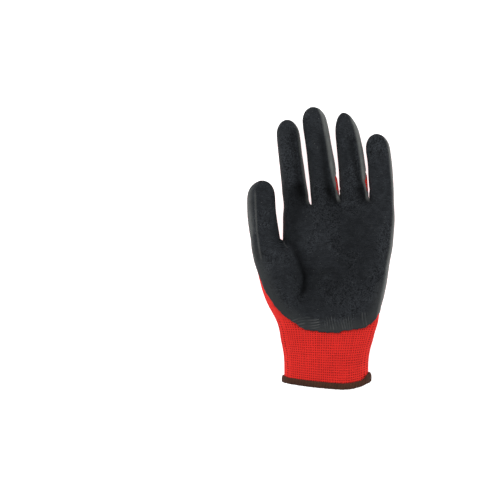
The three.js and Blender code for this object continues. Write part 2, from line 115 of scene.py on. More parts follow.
KNUCKLE_ROWS = [
    (0.635, -0.39, 0.587, 0.96, 0.06, 0.03, 0.1, 0.08, 0.0, 4.0),
    (0.71, -0.385, 0.597, 0.95, 0.0, 0.0, 0.1, 0.05, 0.0, 4.0),
    (0.79, -0.384, 0.606, 0.91, 0.0, 0.0, 0.1, 0.03, 0.0, 4.0),
    (0.87, -0.384, 0.611, 0.84, 0.0, 0.0, 0.1, 0.0, 0.0, 4.0),
]
# share of the wrist's length, taper from the hand's section to the cuff's, lift over the hem
CUFF_ROWS = [(0.13, 0.22, 0.0), (0.33, 0.65, 0.0), (0.56, 0.98, 0.4), (0.8, 1.04, 0.9), (1.0, 1.0, 1.0)]
CUFF_ROUND = 2.4
HEM_LOW_X, HEM_RISE_LEFT, HEM_RISE_RIGHT = 0.2, 5.0, 4.5

# %% The five digits
DIGIT_KEYS = "length root_x tip_x root root_width width bow point rise roll lift crease_x".split()
THUMB, INDEX, MIDDLE, RING, LITTLE = (
    dict(zip(DIGIT_KEYS, row))
    for row in (
        (53.0, -0.53, -0.571, 0.666, 1.14, 1.08, -0.08, 0.62, 0.3, -20, THUMB_RISE, -0.7),
        (70.5, -0.265, -0.353, 0.967, 1.0, 0.89, -0.01, 0.7, 0.4, 4, 0.0, 0.7),
        (79.0, -0.006, -0.127, 0.985, 1.13, 0.95, 0.05, 0.68, 0.5, 14, 0.0, 0.66),
        (72.5, 0.249, 0.15, 1.0, 1.14, 1.0, 0.08, 1.25, 0.5, 14, 0.0, 0.68),
        (56.5, 0.494, 0.438, 0.985, 0.97, 0.94, 0.06, 0.66, 0.35, 5, 0.0, 0.74),
    )
)
FINGERS = [INDEX, MIDDLE, RING, LITTLE]
CROTCHES = [0.967, 1.0, 1.0]
THUMB_CROTCH = 0.685
WEB_SLOPE = 4.0
BODY_STATIONS = [0.09, 0.22, 0.4, 0.6, 0.8, 1.0]
TIP_ANGLES = [26, 48, 66, 80]
DIGIT_ROUND = 2.5
FRONT_ANGLES = [130, 103, 77, 50]
SIDE_ANGLE = 17
CREASE_HEIGHT = 0.95  # share of the half thickness at which the flank's crease lies
SHOULDER_INSET, SIDE_INSET, SIDE_HEIGHT, WEB_COLUMN, BACK_OVERSHOOT = 0.36, 0.04, 0.29, 0.3, 1.5
print("glove length, mm:", round(MIDDLE["root"] * PALM_LENGTH + MIDDLE["length"] + CUFF_LENGTH, 1))

# %% [markdown]
# ## Sections
# Each section is a closed loop of points: a front row from the thumb's side to the little
# finger's, two points down that side, the back row, and two points up the thumb's side. A palm
# section has four points for each digit above it, so the loops divide cleanly at the crotches.


# %% A palm section and a digit section
def lerp(a, b, t):
    return a + (b - a) * t


def smooth(t):
    t = min(1.0, max(0.0, t))
    return t * t * (3 - 2 * t)


def bump(share, centre, reach):
    """A smooth hill of height 1 at centre."""
    return 0.5 + 0.5 * math.cos(math.pi * min(1.0, abs(share - centre) / reach))


def column_shares(digits):
    widths = ([1.0] * 3 + [WEB_COLUMN]) * (digits - 1) + [1.0] * 3
    total = sum(widths)
    return [sum(widths[:i]) / total for i in range(len(widths) + 1)]


def palm_section(digits, y, left, right, bottom, top, roundness, relief, lift):
    half_height = (top - bottom) / 2
    middle = bottom + half_height
    inset = SHOULDER_INSET * half_height
    front, back = [], []
    for share in column_shares(digits):
        x = lerp(left + inset, right - inset, share)
        u = abs(x - (left + right) / 2) / ((right - left) / 2)
        arch = (1 - u**roundness) ** (1 / roundness)
        front.append(Vector((x, y(x), middle + half_height * arch + relief(share))))
        low = max(bottom, middle - (half_height + BACK_OVERSHOOT) * arch)
        back.append(Vector((x, y(x), low + lift(share))))
    heights = [middle + side * SIDE_HEIGHT * half_height for side in (1, -1)]
    edge = SIDE_INSET * half_height
    return {
        "front": front,
        "right": [Vector((right - edge, y(right), z + lift(1))) for z in heights],
        "back": back,
        "left": [Vector((left + edge, y(left), z + lift(0))) for z in heights],
    }


def hand_section(row, digits):
    along, left, right, top, ball, crease, crease_at, heel, lift, roundness = row
    return palm_section(
        digits,
        lambda x: along * PALM_LENGTH,
        left * PALM_WIDTH,
        right * PALM_WIDTH,
        -KNIT_DEPTH,
        top * PALM_THICKNESS,
        roundness,
        lambda share: PALM_THICKNESS
        * (ball * bump(share, 0.14, 0.24) - crease * bump(share, crease_at, 0.12) + heel * bump(share, 0.88, 0.26)),
        lambda share: PALM_THICKNESS * lift * bump(share, 0, 0.32),
    )


def hem_wave(x):
    low = HEM_LOW_X * CUFF_WIDTH
    if x < low:
        return HEM_RISE_LEFT * ((low - x) / (low + CUFF_WIDTH / 2)) ** 1.3
    return HEM_RISE_RIGHT * ((x - low) / (CUFF_WIDTH / 2 - low)) ** 2


def cuff_section(along, taper, lift):
    wrist = HEEL_ROWS[0]
    return palm_section(
        5,
        lambda x: -along * (CUFF_LENGTH - hem_wave(x)),
        lerp(wrist[1] * PALM_WIDTH, -CUFF_WIDTH / 2 - KNIT_DEPTH, taper),
        lerp(wrist[2] * PALM_WIDTH, CUFF_WIDTH / 2 + KNIT_DEPTH, taper),
        lift * (PIECE_GAP + HEM_WALL) - KNIT_DEPTH,
        lerp(wrist[3] * PALM_THICKNESS, CUFF_THICKNESS + KNIT_DEPTH, taper),
        CUFF_ROUND,
        lambda share: 0.0,
        lambda share: 0.0,
    )


def digit_station(digit, distance):
    """Centre, directions and half sizes of a digit, this far from its root."""
    width = digit["width"] * DIGIT_WIDTH
    tip_length = digit["point"] * width
    body = digit["length"] - tip_length
    share = min(1.0, distance / body)
    beyond = max(0.0, distance - body) / tip_length
    closing = math.sqrt(max(0.0, 1 - beyond * beyond))
    root = Vector((digit["root_x"] * PALM_WIDTH, digit["root"] * PALM_LENGTH, 0))
    tip = Vector((digit["tip_x"] * PALM_WIDTH, root.y + digit["length"], 0))
    t = distance / digit["length"]
    thickness = DIGIT_THICKNESS * lerp(1.08, 0.84, share) * (1.18 if digit["lift"] else 1.0)
    centre = root.lerp(tip, t)
    centre.x += digit["bow"] * width * math.sin(math.pi * min(1.0, t))
    centre.z = digit["lift"] - KNIT_DEPTH + digit["rise"] * DIGIT_THICKNESS * t * t + thickness / 2
    forward = (tip - root).normalized()
    right = forward.cross(Vector((0, 0, 1))).normalized()
    up = right.cross(forward)
    roll = math.radians(digit["roll"]) * smooth(share / 0.4)
    half_width = lerp(digit["root_width"] * DIGIT_WIDTH, width, share) / 2 * closing
    half_height = thickness / 2 * closing**0.8
    across = right * math.cos(roll) + up * math.sin(roll)
    above = up * math.cos(roll) - right * math.sin(roll)
    return centre, across * half_width, above * half_height


def digit_point(station, angle):
    centre, across, above = station
    c, s = math.cos(math.radians(angle)), math.sin(math.radians(angle))
    return (
        centre
        + across * math.copysign(abs(c) ** (2 / DIGIT_ROUND), c)
        + above * math.copysign(abs(s) ** (2 / DIGIT_ROUND), s)
    )


def digit_section(digit, distance, shifts=(0.0, 0.0, 0.0)):
    """shifts move the front and back, the left side and the right side along the digit."""
    station = digit_station(digit, distance)
    middle, left, right = (Vector((0, shift, 0)) for shift in shifts)
    front = [digit_point(station, a) + middle for a in FRONT_ANGLES]
    creased = 0 if digit["crease_x"] < 0 else 3
    centre, across, above = station
    crease = centre + across * digit["crease_x"] + above * CREASE_HEIGHT + middle
    amount = 1.0 if digit is THUMB else smooth(distance / (0.9 * DIGIT_WIDTH))
    front[creased] = front[creased].lerp(crease, amount)
    return {
        "front": front,
        "right": [digit_point(station, a) + right for a in (SIDE_ANGLE, -SIDE_ANGLE)],
        "back": [digit_point(station, -a) + middle for a in FRONT_ANGLES],
        "left": [digit_point(station, a) + left for a in (180 - SIDE_ANGLE, SIDE_ANGLE - 180)],
    }


def root_section(digit, left_crotch, right_crotch):
    shifts = (-WEB_SLOPE, (left_crotch - digit["root"]) * PALM_LENGTH, (right_crotch - digit["root"]) * PALM_LENGTH)
    return digit_section(digit, 0.0, shifts)


def loop_of(section):
    return section["front"] + section["right"] + section["back"][::-1] + section["left"][::-1]


def together(sections):
    return {
        "front": [p for s in sections for p in s["front"]],
        "right": sections[-1]["right"],
        "back": [p for s in sections for p in s["back"]],
        "left": sections[0]["left"],
    }


# %% [markdown]
# ## Growing the skin
# A hand is easiest to model as the machine knits it: a loop of edges at the hem is extruded row by
# row, the loop is divided at each crotch by bridging its front to its back, and every digit then
# grows from its own loop to a closed tip. Each row also gets texture coordinates as it is made:
# across in wales, the columns of stitches, and along in millimetres of fabric.

# %% Tools for growing a loop
FLANK_CREASE = 0.62  # how sharp the latex folds where a finger's flank begins
HEEL_CREASES = [0.0, 0.0, 0.0, 0.2, 0.35, 0.5, 0.6, 0.62]
# how much of each flank's smoother latex, with its painted pale reflection, shows on the sides and left of each
# crotch
THUMB_FLANK, PALM_FLANK = 0.34, 0.7
FINGER_FLANKS = [0.5, 1.0, 1.0, PALM_FLANK]
THUMB_WEB, FINGER_WEBS = 0.1, [0.45, 0.8, 0.8]
COLUMN_WALES, WEB_WALES, SIDE_WALES = 4, 1, [3, 4, 3]


def deselect_all():
    for thing in bpy.context.selected_objects:
        thing.select_set(False)


def work_on(thing):
    deselect_all()
    thing.select_set(True)
    bpy.context.view_layer.objects.active = thing


def wales_of(digits, start=0):
    columns = ([COLUMN_WALES] * 3 + [WEB_WALES]) * (digits - 1) + [COLUMN_WALES] * 3
    steps = columns + SIDE_WALES + columns[::-1] + SIDE_WALES
    return [start + sum(steps[:i]) for i in range(len(steps) + 1)]


def edit_mesh():
    bm = bmesh.from_edit_mesh(bpy.context.object.data)
    bm.verts.ensure_lookup_table()
    bm.verts.index_update()
    return bm


def select_edges(pairs):
    bpy.ops.mesh.select_all(action="DESELECT")
    bm = edit_mesh()
    for a, b in pairs:
        bm.edges.get((bm.verts[a], bm.verts[b])).select_set(True)
    bmesh.update_edit_mesh(bpy.context.object.data)


def ring_pairs(loop):
    return list(zip(loop, loop[1:] + loop[:1]))


def set_uv(bm, face, places):
    layer = bm.loops.layers.uv.verify()
    for corner in face.loops:
        corner[layer].uv = places[corner.vert.index]


def grow(loop, section, wales, course, crease=(0, 0.0), flanks=(0.0, 0.0)):
    """Extrudes a loop of edges to the next section and returns the new loop and its course.

    crease is a place in the loop, and how sharp the edge that rises from it stays. flanks says how
    much the left and the right side show the smooth latex of a flank, with its painted pale reflection."""
    select_edges(ring_pairs(loop))
    bpy.ops.mesh.extrude_edges_move()
    bm = edit_mesh()
    flank = bm.verts.layers.float["flank"]
    above = {}
    for vert in bm.verts:
        if vert.select:
            below = next(e.other_vert(vert) for e in vert.link_edges if not e.other_vert(vert).select)
            above[below.index] = vert.index
    new_loop = [above[i] for i in loop]
    lengths = []
    for i, j, point in zip(loop, new_loop, loop_of(section)):
        bm.verts[j].co = placed(point)
        lengths.append((bm.verts[j].co - bm.verts[i].co).length * 1000)
    count = len(section["front"])
    for n, j in enumerate(new_loop):
        on_right, on_left = n in (count, count + 1), n >= len(new_loop) - 2
        bm.verts[j][flank] = flanks[1] if on_right else flanks[0] if on_left else 0.0
    next_course = course + sum(lengths) / len(lengths)
    for n, (i, j) in enumerate(ring_pairs(loop)):
        edge = bm.edges.get((bm.verts[i], bm.verts[j]))
        face = next(f for f in edge.link_faces if bm.verts[above[i]] in f.verts)
        places = {i: (wales[n], course), j: (wales[n + 1], course)}
        places.update({above[i]: (wales[n], next_course), above[j]: (wales[n + 1], next_course)})
        set_uv(bm, face, places)
    if crease[1]:
        layer = bm.edges.layers.float.get("crease_edge") or bm.edges.layers.float.new("crease_edge")
        rising = bm.edges.get((bm.verts[loop[crease[0]]], bm.verts[new_loop[crease[0]]]))
        rising[layer] = crease[1]
    bmesh.update_edit_mesh(bpy.context.object.data)
    return new_loop, next_course


def divide(loop, cuts, sections, wales, course, films):
    """Bridges the front of a loop to its back beside each cut, and returns a loop for each section.

    films says how much of the flank's smoother latex, with its painted pale reflection, shows on the left of each
    crotch."""
    count = (len(loop) - 4) // 2
    left, start, rings = loop[-2:], 0, []
    for cut, film_and_reflection, one, other in zip(cuts, films, sections, sections[1:]):
        front = (loop[cut], loop[cut + 1])
        back = (loop[2 * count + 1 - cut], loop[2 * count - cut])
        select_edges([front, back])
        bpy.ops.mesh.bridge_edge_loops(number_cuts=2)
        bm = edit_mesh()
        web = []
        for side, places in ((0, one["right"]), (1, other["left"])):
            ends = [bm.verts[front[side]], bm.verts[back[side]]]
            column = []
            for end, place in zip(ends, places):
                vert = next(
                    e.other_vert(end) for e in end.link_edges if e.other_vert(end).index >= len(bm.verts) - 4
                )
                vert.co = placed(place)
                vert[bm.verts.layers.float["flank"]] = film_and_reflection if side == 0 else 0.0
                column.append(vert.index)
            web.append(column)
        rungs = [front, (web[0][0], web[1][0]), (web[0][1], web[1][1]), back]
        for n, (low, high) in enumerate(zip(rungs, rungs[1:])):
            corners = {bm.verts[i] for i in low + high}
            face = next(f for f in bm.verts[low[0]].link_faces if set(f.verts) == corners)
            places = {low[0]: (wales[cut], course + 4 * n), low[1]: (wales[cut + 1], course + 4 * n)}
            places.update({high[0]: (wales[cut], course + 4 * n + 4), high[1]: (wales[cut + 1], course + 4 * n + 4)})
            set_uv(bm, face, places)
        bmesh.update_edit_mesh(bpy.context.object.data)
        rings.append(loop[start : cut + 1] + web[0] + loop[2 * count + 1 - cut : 2 * count + 2 - start] + left)
        left, start = web[1][::-1], cut + 1
    rings.append(loop[start : 2 * count + 2 - start] + left)
    return rings


def grow_digit(digit, loop, wales, course, flanks):
    tip_length = digit["point"] * digit["width"] * DIGIT_WIDTH
    body = digit["length"] - tip_length
    stops = [share * body for share in BODY_STATIONS]
    stops += [body + tip_length * math.sin(math.radians(angle)) for angle in TIP_ANGLES]
    creased = 0 if digit["crease_x"] < 0 else 3
    for n, stop in enumerate(stops):
        sharp = FLANK_CREASE * min(1.0, (n + 1) / 3, (len(stops) - 1 - n) / 4)
        fade = smooth((len(stops) - 0.5 - n) / 5)
        film_and_reflection = (flanks[0] * fade, flanks[1] * fade)
        loop, course = grow(loop, digit_section(digit, stop), wales, course, (creased, sharp), film_and_reflection)
    select_edges(ring_pairs(loop))
    bpy.ops.mesh.fill_grid(span=3)
    bm = edit_mesh()
    tip = placed(Vector((0, digit["root"] * PALM_LENGTH + digit["length"], 0))).y
    places = dict(zip(loop, ((w, course) for w in wales)))
    for vert in bm.verts[-4:]:
        vert.co.y = tip
        places[vert.index] = (wales[2], course + 1)
    for face in {f for vert in bm.verts[-4:] for f in vert.link_faces}:
        set_uv(bm, face, places)
    bmesh.update_edit_mesh(bpy.context.object.data)


# %% Grow the whole glove from the hem to the fingertips
bpy.context.scene.cursor.location = (0, 0, 0)
deselect_all()
bpy.ops.mesh.primitive_circle_add(vertices=len(wales_of(5)) - 1, radius=0.04)
cage = bpy.context.object
cage.name = "glove_cage"
hem_section, *cuff_sections = [cuff_section(*row) for row in CUFF_ROWS[::-1]]
for vert, point in zip(cage.data.vertices, loop_of(hem_section)):
    vert.co = placed(point)
cage.data.attributes.new("flank", "FLOAT", "POINT")
work_on(cage)
bpy.ops.object.mode_set(mode="EDIT")
ring = [vert.index for vert in cage.data.vertices]
course = 0.0
for section in cuff_sections:
    ring, course = grow(ring, section, wales_of(5), course)
for n, row in enumerate(HEEL_ROWS):
    flanks = (THUMB_FLANK * smooth((n - 1) / 3), PALM_FLANK)
    ring, course = grow(ring, hand_section(row, 5), wales_of(5), course, (0, HEEL_CREASES[n]), flanks)

thumb_root = root_section(THUMB, THUMB["root"] - 0.03, THUMB_CROTCH)
knuckles = [hand_section(row, 4) for row in KNUCKLE_ROWS]
for point in knuckles[0]["left"]:
    point.y = THUMB_CROTCH * PALM_LENGTH
ring, course = grow(ring, together([thumb_root, knuckles[0]]), wales_of(5), course, (0, FLANK_CREASE), (THUMB_FLANK, PALM_FLANK))
thumb_ring, ring = divide(ring, [3], [thumb_root, knuckles[0]], wales_of(5), course, [THUMB_WEB])
grow_digit(THUMB, thumb_ring, wales_of(1), course, (THUMB_FLANK, 0.0))

first_wale = 3 * COLUMN_WALES + WEB_WALES
for section in knuckles[1:]:
    ring, course = grow(ring, section, wales_of(4, first_wale), course, flanks=(0.0, PALM_FLANK))
outer = [digit["root"] - 0.02 for digit in FINGERS]
lefts, rights = [outer[0]] + CROTCHES, CROTCHES + [outer[3]]
roots = [root_section(*args) for args in zip(FINGERS, lefts, rights)]
ring, course = grow(ring, together(roots), wales_of(4, first_wale), course, flanks=(0.0, PALM_FLANK))
finger_rings = divide(ring, [3, 7, 11], roots, wales_of(4, first_wale), course, FINGER_WEBS)
for n, (digit, finger_ring, film_and_reflection) in enumerate(zip(FINGERS, finger_rings, FINGER_FLANKS)):
    grow_digit(digit, finger_ring, wales_of(1, first_wale * (n + 1)), course, (0.0, film_and_reflection))
bpy.ops.mesh.select_all(action="SELECT")
bpy.ops.mesh.normals_make_consistent(inside=False)
bpy.ops.object.mode_set(mode="OBJECT")
print("cage:", len(cage.data.vertices), "points,", len(cage.data.polygons), "faces")

# %% [markdown]
# ## Smoothing without shrinking
# Subdivision Surface rounds the cage, and pulls it in by half a millimetre, and more at the
# fingertips. The cage is pushed out by what it lost, a few times over, until the smooth surface
# goes through the measured points.


# %% Let the smooth surface pass through the measured points
def add_smoothing(thing, levels):
    modifier = thing.modifiers.new("smooth", "SUBSURF")
    modifier.levels = modifier.render_levels = levels
    return modifier


measured = [vert.co.copy() for vert in cage.data.vertices]
modifier = add_smoothing(cage, 1)
for attempt in range(3):
    depsgraph = bpy.context.evaluated_depsgraph_get()
    smoothed = cage.evaluated_get(depsgraph).data
    lost = [point - smoothed.vertices[n].co for n, point in enumerate(measured)]
    for vert, gap in zip(cage.data.vertices, lost):
        vert.co += 0.85 * gap
    cage.data.update()
    print("pass", attempt, "worst gap, mm:", round(1000 * max(gap.length for gap in lost), 2))
cage.modifiers.remove(modifier)


def smooth_copy(name, levels):
    """A subdivided copy of the cage."""
    piece = cage.copy()
    piece.data = cage.data.copy()
    piece.name = piece.data.name = name
    bpy.context.collection.objects.link(piece)
    work_on(piece)
    modifier = add_smoothing(piece, levels)
    bpy.ops.object.modifier_apply(modifier=modifier.name)
    bpy.ops.object.shade_smooth()
    return piece


# %% [markdown]
# ## Creases and ripples
# Worn flat for a photograph, the latex keeps a fold beside the ball of the thumb, a ridge where
# the flank turns up, and fine ripples above its lower edge. Each is a stroke: a path over the palm,
# a height and a width. A point near the path moves up or down its own normal.

# %% Strokes on the palm, drawn in the photograph's own pixels
# path, height in mm, width in mm
THENAR_FOLD = ([(288, 245), (296, 251), (302, 262), (306, 275), (305, 288), (300, 299)], -2.6, 3.0)
THENAR_ROLL = ([(293, 256), (298, 266), (301, 277), (300, 287)], 0.9, 3.0)
FLANK_RIDGE = ([(255.5, 184), (256, 205), (257.5, 232), (260, 250), (263, 266)], 0.36, 1.3)
CROTCH_RIDGE = ([(283, 240), (285, 245), (289, 249)], 0.3, 1.0)
# painted shade in the thumb's fold, the palm's hollow, at the finger roots and down the fingers: path, share, width
# in mm
PAINTED_SHADE_STROKES = [
    ([(291, 246), (296, 252), (301, 262), (305, 275), (305, 288), (301, 298)], 0.55, 2.5),
    ([(296, 180), (294, 200), (291, 220), (290, 238), (293, 250)], 0.55, 9.0),
    ([(296, 196), (350, 215), (352, 270), (316, 290), (312, 250)], 0.42, 22.0),
    ([(292, 128), (294, 145), (296, 160), (298, 178), (304, 199)], 0.6, 3.0),
    ([(320, 130), (322, 145), (324, 160), (326, 178), (332, 198)], 0.6, 3.0),
    ([(350, 135), (352, 150), (355, 165), (359, 182), (365, 198)], 0.6, 3.0),
    ([(312, 150), (314, 190)], 0.15, 8.0), ([(343, 150), (344, 190)], 0.15, 8.0),
    ([(294, 182), (301, 198), (308, 208)], 0.36, 5.0),
    ([(324, 186), (331, 197), (338, 203)], 0.5, 3.2), ([(355, 186), (362, 197), (369, 203)], 0.5, 3.2),
]
# areas of the heel that rippled as the glove was pulled off its former: left, top, right and
# bottom in pixels, the axis that the ripples follow each other along, and their slant
RIPPLES = [
    ((289, 313.5, 323, 331), 1, -0.16),
    ((320, 312, 355, 332), 0, 0.14),
    ((356, 308, 370, 328), 0, 0.14),
]
AREA_EDGE = 5.0  # pixels over which an area fades out
RIPPLE_PITCH = 2.3  # mm
RIPPLE_HEIGHT = 0.34  # mm


def from_pixels(x, y):
    return Vector(((x - 326) * PIXEL, (333 - y) * PIXEL))


def stroke_data(stroke):
    path, height, width = stroke
    points = [from_pixels(*pixel) for pixel in path]
    xs, ys = [p.x for p in points], [p.y for p in points]
    reach = 3 * width
    return points, height, width, (min(xs) - reach, max(xs) + reach, min(ys) - reach, max(ys) + reach)


def distance_to(points, spot):
    best = (1e9, 0.0)
    total = len(points) - 1
    for n, (a, b) in enumerate(zip(points, points[1:])):
        along = b - a
        t = min(1.0, max(0.0, (spot - a).dot(along) / along.length_squared))
        best = min(best, ((a + along * t - spot).length, (n + t) / total))
    return best


broad_strokes = [stroke_data(s) for s in (THENAR_FOLD, THENAR_ROLL)]
fine_strokes = [stroke_data(s) for s in (FLANK_RIDGE, CROTCH_RIDGE)]
painted_shade_strokes = [stroke_data(s) for s in PAINTED_SHADE_STROKES]


def relief(spot, strokes):
    total = 0.0
    for points, height, width, (x0, x1, y0, y1) in strokes:
        if x0 < spot.x < x1 and y0 < spot.y < y1:
            away, along = distance_to(points, spot)
            total += height * math.exp(-((away / width) ** 2)) * min(1.0, 6 * along + 0.15, 6 * (1 - along) + 0.15)
    return total


def in_area(spot, area):
    """1 inside an area, 0 outside, with a soft edge."""
    x, y = 326 + spot.x / PIXEL, 333 - spot.y / PIXEL
    x0, y0, x1, y1 = area
    return math.prod(smooth(inside / AREA_EDGE) for inside in (x - x0, x1 - x, y - y0, y1 - y))


def ripple(spot):
    """The ripples' height over the heel, from 0 to about 1."""
    drift = 1.2 * noise.noise(Vector((spot.x, spot.y, 3.0)) / 11)
    strength = 0.85 + 0.6 * noise.noise(Vector((spot.x, spot.y, 8.0)) / 5)
    total = 0.0
    for area, axis, slant in RIPPLES:
        share = in_area(spot, area)
        if share > 0:
            phase = (spot[axis] + slant * spot[1 - axis] + drift) / RIPPLE_PITCH
            total += share * math.cos(math.pi * phase) ** 2
    return total * strength


def press(piece, broad, fine, unevenness):
    """Moves the palm side of a piece by the strokes, the ripples and a slow unevenness.

    The fine relief and the painted shade are also noted for the finish, which paints highlights on the relief's
    crests."""
    for name in ("crest", "painted_shade"):
        piece.data.attributes.new(name, "FLOAT", "POINT")
    crest, painted_shade = (piece.data.attributes[name] for name in ("crest", "painted_shade"))
    moves = []
    for vert in piece.data.vertices:
        point = vert.co * 1000 - CENTRING
        facing = smooth(vert.normal.z * 2.5)
        ridge = 0.0
        if fine and facing > 0:
            ridge = facing * (relief(point.xy, fine) + RIPPLE_HEIGHT * ripple(point.xy))
        height = ridge + (facing * relief(point.xy, broad) if facing > 0 else 0.0)
        slow = noise.noise(Vector((point.x / 9, point.y / 14, point.z / 11)))
        moves.append(vert.normal * (height + unevenness * slow) * 0.001)
        crest.data[vert.index].value = max(0.0, ridge)
        # painted shade: how much the finish darkens the latex here
        if fine and facing > 0:
            painted_shade.data[vert.index].value = facing * relief(point.xy, painted_shade_strokes)
    for vert, move in zip(piece.data.vertices, moves):
        vert.co += move
    piece.data.update()


print("strokes:", len(broad_strokes) + len(fine_strokes))

# %% [markdown]
# ## Where the latex ends
# The hand is lowered palm down into liquid latex, so the coating ends where the surface of the
# bath was, and runs down a little past it. That edge is a height above the surface that the glove
# now lies on, and over the heel of the hand a wavy line. Between two pairs of fingers a
# patch beside the root stays bare.

# %% Where the latex ends
DIP_EDGE = [  # pixels of the photograph, from the thumb's side to the little finger's
    (251, 252), (254, 262), (258.6, 275), (263, 287), (268.3, 296), (275.8, 307), (282.5, 314),
    (292, 320.3), (301, 326.6), (309, 329.4), (321, 331.2), (338.5, 331.5), (341.5, 330), (354, 328.3),
    (364.5, 326.8), (367, 325), (370.5, 323), (376, 317.5), (380.5, 310.5), (383, 301), (386, 290),
]
DIP_HEIGHTS = [  # share of the palm's length, and heights at the thumb, left and right over DIP_LEVEL
    (-0.1, 1.6, 1.6, 1.2), (0.3, 1.6, 1.6, 1.2), (0.5, 1.8, 1.6, 1.15), (0.66, 2.25, 1.4, 1.05),
    (0.85, 2.15, 1.1, 1.0), (1.05, 2.0, 1.0, 1.0), (2.0, 0.8, 0.75, 0.75),
]
BARE_ACROSS, BARE_UP, BARE_ALONG, BARE_START = 0.17, 2.2, 0.6, 0.0


def table_value(rows, at, column):
    if at <= rows[0][0]:
        return rows[0][column]
    for low, high in zip(rows, rows[1:]):
        if at < high[0]:
            return lerp(low[column], high[column], (at - low[0]) / (high[0] - low[0]))
    return rows[-1][column]


edge_path = [from_pixels(*pixel) for pixel in DIP_EDGE]
edge_rows = [tuple(point) for point in edge_path]
bare_spots = []
for digit in (MIDDLE, RING):
    spot = digit_point(digit_station(digit, (BARE_START + BARE_ALONG) * DIGIT_WIDTH), 0)
    slant = (digit["tip_x"] - digit["root_x"]) * PALM_WIDTH / digit["length"]
    bare_spots.append((spot, slant))


EDGE_BLEND = 6.0  # mm over which the line on the heel turns into the level of the bath


def from_bare_spots(point):
    """How far, in mm, a point is from the nearest bare spot, less than 0 inside it."""
    nearest = DIGIT_WIDTH
    for spot, slant in bare_spots:
        if point.x > spot.x + slant * (point.y - spot.y) + 1.0:
            continue  # the next finger's side
        away = Vector(
            ((point.x - spot.x) / BARE_ACROSS, (point.y - spot.y) / BARE_ALONG, point.z * DIGIT_WIDTH / DIP_LEVEL / BARE_UP)
        )
        nearest = min(nearest, (away.length - DIGIT_WIDTH) * BARE_ACROSS)
    return nearest


def latex_level(point):
    """How far, in mm, a point of the skin is inside the latex, and how far it is from the bath's line."""
    along, across = point.y / PALM_LENGTH, point.x / PALM_WIDTH
    wobble = 0.8 * noise.noise(point / 2.3) + 0.7 * noise.noise(point / 6.1)
    above_edge = point.y - table_value(edge_rows, point.x, 1)
    thumb, left, right = (table_value(DIP_HEIGHTS, along, n) for n in (1, 2, 3))
    palm = lerp(left, right, min(1.0, max(0.0, across + 0.37)))
    height = lerp(thumb, palm, smooth((across + 0.45) / 0.08)) * DIP_LEVEL
    above_bath = point.z - height
    blend = max(0.0, EDGE_BLEND - abs(above_edge - above_bath))
    coated = min(above_edge, above_bath) - blend * blend / (4 * EDGE_BLEND)
    from_line = distance_to(edge_path, point.xy)[0] if above_edge < 40 else above_edge
    return min(coated, from_bare_spots(point)) + wobble, max(0.0, min(from_line, 1.3 * above_bath))


# %% [markdown]
# ## The knitted shell
# The knit lies under the latex, so its pieces are the same smooth skin moved in by the latex and
# the gap. Solidify then gives the wall its thickness, inwards, and the back is pressed flat where
# the glove rests.


# %% The knitted hand and wrist
def move_along_normals(piece, millimetres):
    work_on(piece)
    bpy.ops.object.mode_set(mode="EDIT")
    bpy.ops.mesh.select_all(action="SELECT")
    bpy.ops.transform.shrink_fatten(value=millimetres * 0.001, use_even_offset=False)
    bpy.ops.object.mode_set(mode="OBJECT")


def flatten_back(piece, lowest):
    for vert in piece.data.vertices:
        vert.co.z = max(vert.co.z, lowest * 0.001)


def keep_faces(piece, wanted):
    """Deletes the faces whose middle, in mm from the wrist line, wanted() turns down."""
    bm = bmesh.new()
    bm.from_mesh(piece.data)
    wrong = [f for f in bm.faces if not wanted(f.calc_center_median().y * 1000 - CENTRING.y)]
    bmesh.ops.delete(bm, geom=wrong, context="FACES")
    bm.to_mesh(piece.data)
    bm.free()


def thicken(piece, millimetres):
    work_on(piece)
    modifier = piece.modifiers.new("wall", "SOLIDIFY")
    modifier.thickness = millimetres * 0.001
    modifier.offset = -1.0
    bpy.ops.object.modifier_apply(modifier=modifier.name)
    bpy.ops.object.shade_smooth_by_angle(angle=math.radians(55))


SWELL = 1.3  # mm that the knit stands out where no latex holds it
knit_hand = smooth_copy("knitted_hand", 2)
press(knit_hand, broad_strokes, [], 0.3)
move_along_normals(knit_hand, -KNIT_DEPTH)
swells = [
    (vert, vert.normal * SWELL * smooth(-from_bare_spots(vert.co * 1000 - CENTRING) / 0.7) * 0.001)
    for vert in knit_hand.data.vertices
]
for vert, move in swells:
    vert.co += move
flatten_back(knit_hand, 0.0)
knit_cuff = knit_hand.copy()
knit_cuff.data = knit_hand.data.copy()
knit_cuff.name = knit_cuff.data.name = "knitted_wrist"
bpy.context.collection.objects.link(knit_cuff)
keep_faces(knit_hand, lambda y: y > 0)
keep_faces(knit_cuff, lambda y: y < 0)
thicken(knit_hand, KNIT_WALL)
thicken(knit_cuff, KNIT_WALL)
print("knit faces:", len(knit_hand.data.polygons), len(knit_cuff.data.polygons))

# %% [markdown]
# ## The latex
# A third copy of the smooth skin is cut where its level falls below nought. The edge is turned down
# a little and the coat gets its wall inwards, so its outside stays the glove's measured outside.

